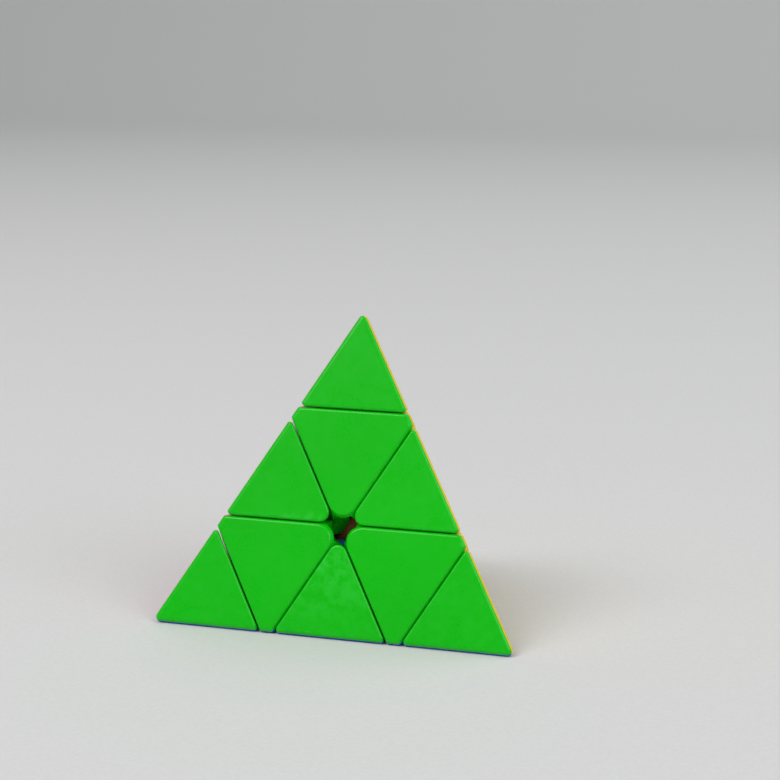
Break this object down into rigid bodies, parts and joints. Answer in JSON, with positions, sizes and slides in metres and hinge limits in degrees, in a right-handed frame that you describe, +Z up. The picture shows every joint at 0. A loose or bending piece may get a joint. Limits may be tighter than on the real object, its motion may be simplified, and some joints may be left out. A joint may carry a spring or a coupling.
{
  "type": "pyramid twisty puzzle",
  "caption": "Four-sided pyramid puzzle with turning corner tips and layers, in solid green, red, yellow and blue plastic, around a sprung ball core.",
  "frame": {"origin": "middle of the core, where the four turning axes meet, 20.8 mm above the surface that the puzzle stands on", "axes": "+Z up through the top corner, +X along the front edge of the base, green face at the front towards -Y"},
  "size_m": [0.098, 0.0852, 0.0805],
  "materials": {
    "green_plastic": "satin",
    "red_plastic": "satin",
    "yellow_plastic": "satin",
    "blue_plastic": "satin",
    "core_plastic": "matte",
    "hub_plastic": "matte",
    "steel": "satin"
  },
  "bodies": {
    "core": {"core": "core_plastic", "core_screws": "steel", "spring_washers": "steel", "tension_springs": "steel"},
    "axial_top": {"axial_top_shell_yellow": "yellow_plastic", "axial_top_shell_red": "red_plastic", "axial_top_shell_green": "green_plastic", "axial_top_hub": "hub_plastic"},
    "tip_top": {"tip_top_shell_yellow": "yellow_plastic", "tip_top_shell_red": "red_plastic", "tip_top_shell_green": "green_plastic", "tip_top_plug": "hub_plastic"},
    "axial_left": {"axial_left_shell_blue": "blue_plastic", "axial_left_shell_red": "red_plastic", "axial_left_shell_green": "green_plastic", "axial_left_hub": "hub_plastic"},
    "tip_left": {"tip_left_shell_blue": "blue_plastic", "tip_left_shell_red": "red_plastic", "tip_left_shell_green": "green_plastic", "tip_left_plug": "hub_plastic"},
    "axial_right": {"axial_right_shell_blue": "blue_plastic", "axial_right_shell_yellow": "yellow_plastic", "axial_right_shell_green": "green_plastic", "axial_right_hub": "hub_plastic"},
    "tip_right": {"tip_right_shell_blue": "blue_plastic", "tip_right_shell_yellow": "yellow_plastic", "tip_right_shell_green": "green_plastic", "tip_right_plug": "hub_plastic"},
    "axial_back": {"axial_back_shell_blue": "blue_plastic", "axial_back_shell_yellow": "yellow_plastic", "axial_back_shell_red": "red_plastic", "axial_back_hub": "hub_plastic"},
    "tip_back": {"tip_back_shell_blue": "blue_plastic", "tip_back_shell_yellow": "yellow_plastic", "tip_back_shell_red": "red_plastic", "tip_back_plug": "hub_plastic"},
    "edge_top_left": {"edge_top_left_shell_red": "red_plastic", "edge_top_left_shell_green": "green_plastic", "edge_top_left_foot": "green_plastic"},
    "edge_top_right": {"edge_top_right_shell_yellow": "yellow_plastic", "edge_top_right_shell_green": "green_plastic", "edge_top_right_foot": "yellow_plastic"},
    "edge_top_back": {"edge_top_back_shell_yellow": "yellow_plastic", "edge_top_back_shell_red": "red_plastic", "edge_top_back_foot": "red_plastic"},
    "edge_left_right": {"edge_left_right_shell_blue": "blue_plastic", "edge_left_right_shell_green": "green_plastic", "edge_left_right_foot": "blue_plastic"},
    "edge_left_back": {"edge_left_back_shell_blue": "blue_plastic", "edge_left_back_shell_red": "red_plastic", "edge_left_back_foot": "blue_plastic"},
    "edge_right_back": {"edge_right_back_shell_blue": "blue_plastic", "edge_right_back_shell_yellow": "yellow_plastic", "edge_right_back_foot": "yellow_plastic"}
  },
  "joints": [
    {"name": "top_layer_turn", "type": "hinge", "parent": "core", "child": "axial_top", "pos_m": [0, 0, 0], "axis": [0, 0, 1], "continuous": true},
    {"name": "left_layer_turn", "type": "hinge", "parent": "core", "child": "axial_left", "pos_m": [0, 0, 0], "axis": [-0.8165, -0.4714, -0.3333], "range_deg": [-360, 360]},
    {"name": "right_layer_turn", "type": "hinge", "parent": "core", "child": "axial_right", "pos_m": [0, 0, 0], "axis": [0.8165, -0.4714, -0.3333], "range_deg": [-360, 360]},
    {"name": "back_layer_turn", "type": "hinge", "parent": "core", "child": "axial_back", "pos_m": [0, 0, 0], "axis": [0, 0.9428, -0.3333], "range_deg": [-360, 360]},
    {"name": "top_tip_turn", "type": "hinge", "parent": "axial_top", "child": "tip_top", "pos_m": [0, 0, 0], "axis": [0, 0, 1], "continuous": true},
    {"name": "left_tip_turn", "type": "hinge", "parent": "axial_left", "child": "tip_left", "pos_m": [0, 0, 0], "axis": [-0.8165, -0.4714, -0.3333], "continuous": true},
    {"name": "right_tip_turn", "type": "hinge", "parent": "axial_right", "child": "tip_right", "pos_m": [0, 0, 0], "axis": [0.8165, -0.4714, -0.3333], "continuous": true},
    {"name": "back_tip_turn", "type": "hinge", "parent": "axial_back", "child": "tip_back", "pos_m": [0, 0, 0], "axis": [0, 0.9428, -0.3333], "continuous": true},
    {"name": "edge_top_left_follow", "type": "hinge", "parent": "axial_top", "child": "edge_top_left", "pos_m": [0, 0, 0], "axis": [-0.8165, -0.4714, -0.3333], "range_deg": [-360, 360]},
    {"name": "edge_top_right_follow", "type": "hinge", "parent": "axial_top", "child": "edge_top_right", "pos_m": [0, 0, 0], "axis": [0.8165, -0.4714, -0.3333], "range_deg": [-360, 360]},
    {"name": "edge_top_back_follow", "type": "hinge", "parent": "axial_top", "child": "edge_top_back", "pos_m": [0, 0, 0], "axis": [0, 0.9428, -0.3333], "range_deg": [-360, 360]},
    {"name": "edge_left_right_follow", "type": "hinge", "parent": "axial_left", "child": "edge_left_right", "pos_m": [0, 0, 0], "axis": [0.8165, -0.4714, -0.3333], "range_deg": [-360, 360]},
    {"name": "edge_left_back_follow", "type": "hinge", "parent": "axial_left", "child": "edge_left_back", "pos_m": [0, 0, 0], "axis": [0, 0.9428, -0.3333], "range_deg": [-360, 360]},
    {"name": "edge_right_back_follow", "type": "hinge", "parent": "axial_right", "child": "edge_right_back", "pos_m": [0, 0, 0], "axis": [0, 0.9428, -0.3333], "range_deg": [-360, 360]}
  ],
  "couplings": [
    {"joint": "edge_top_left_follow", "follows": "left_layer_turn", "ratio": 1},
    {"joint": "edge_top_right_follow", "follows": "right_layer_turn", "ratio": 1},
    {"joint": "edge_top_back_follow", "follows": "back_layer_turn", "ratio": 1},
    {"joint": "edge_left_right_follow", "follows": "right_layer_turn", "ratio": 1},
    {"joint": "edge_left_back_follow", "follows": "back_layer_turn", "ratio": 1},
    {"joint": "edge_right_back_follow", "follows": "back_layer_turn", "ratio": 1}
  ]
}
